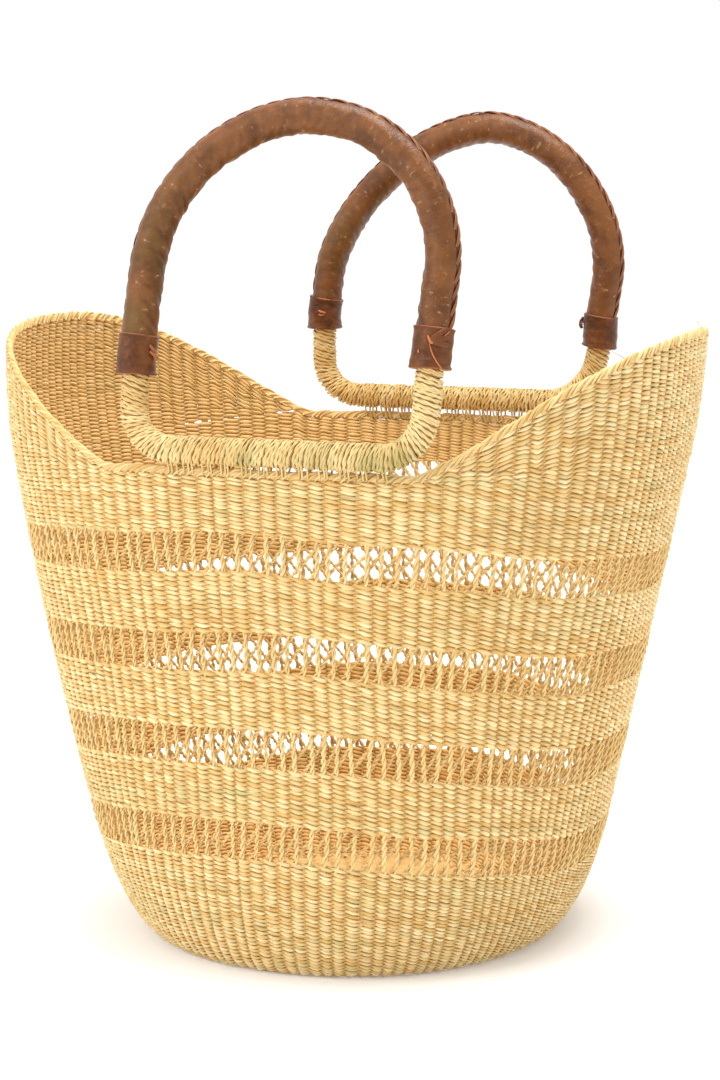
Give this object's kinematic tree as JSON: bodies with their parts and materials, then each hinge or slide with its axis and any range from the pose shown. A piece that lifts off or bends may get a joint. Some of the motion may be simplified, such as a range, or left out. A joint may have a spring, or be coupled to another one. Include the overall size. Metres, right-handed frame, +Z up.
{
  "type": "woven market basket",
  "caption": "Oval flared grass basket with high ears, open lace bands and two hoop handles that hinge on the rim and carry leather grips.",
  "frame": {"origin": "centre of the underside, on the surface that the basket stands on", "axes": "+Z up, +X towards the right ear, -Y towards the front handle"},
  "size_m": [0.4462, 0.4018, 0.5416],
  "materials": {
    "pale_grass": "matte twined grass",
    "golden_grass": "matte twisted grass cord",
    "wrap_grass": "matte wound grass",
    "cane": "bare cane",
    "brown_leather": "waxed, creased",
    "dark_leather": "waxed, creased",
    "raw_leather": "raw cut edge"
  },
  "bodies": {
    "basket": {"base_weave": "pale_grass", "dense_band_1": "pale_grass", "dense_band_2": "pale_grass", "dense_band_3": "pale_grass", "dense_band_4": "pale_grass", "dense_band_5": "pale_grass", "lace_band_1": "golden_grass", "lace_band_2": "golden_grass", "lace_band_3": "golden_grass", "lace_band_4": "golden_grass", "rim_border": "pale_grass", "front_lashing": "golden_grass", "rear_lashing": "golden_grass"},
    "front_handle": {"front_handle_cane_core": "cane", "front_handle_straw_wrap": "wrap_grass", "front_handle_leather_sleeve": "brown_leather", "front_handle_cuff_left": "dark_leather", "front_handle_cuff_right": "dark_leather", "front_handle_thong_knot_left": "raw_leather", "front_handle_thong_knot_right": "raw_leather", "front_handle_seam_lacing": "raw_leather"},
    "rear_handle": {"rear_handle_cane_core": "cane", "rear_handle_straw_wrap": "wrap_grass", "rear_handle_leather_sleeve": "brown_leather", "rear_handle_cuff_left": "dark_leather", "rear_handle_cuff_right": "dark_leather", "rear_handle_thong_knot_left": "raw_leather", "rear_handle_thong_knot_right": "raw_leather", "rear_handle_seam_lacing": "raw_leather"}
  },
  "joints": [
    {"name": "front_handle_swing", "type": "hinge", "parent": "basket", "child": "front_handle", "pos_m": [0.014, -0.1895, 0.3318], "axis": [1, 0, 0], "range_deg": [-32, 54]},
    {"name": "rear_handle_swing", "type": "hinge", "parent": "basket", "child": "rear_handle", "pos_m": [0.009, 0.1895, 0.328], "axis": [1, 0, 0], "range_deg": [-45, 48]}
  ]
}
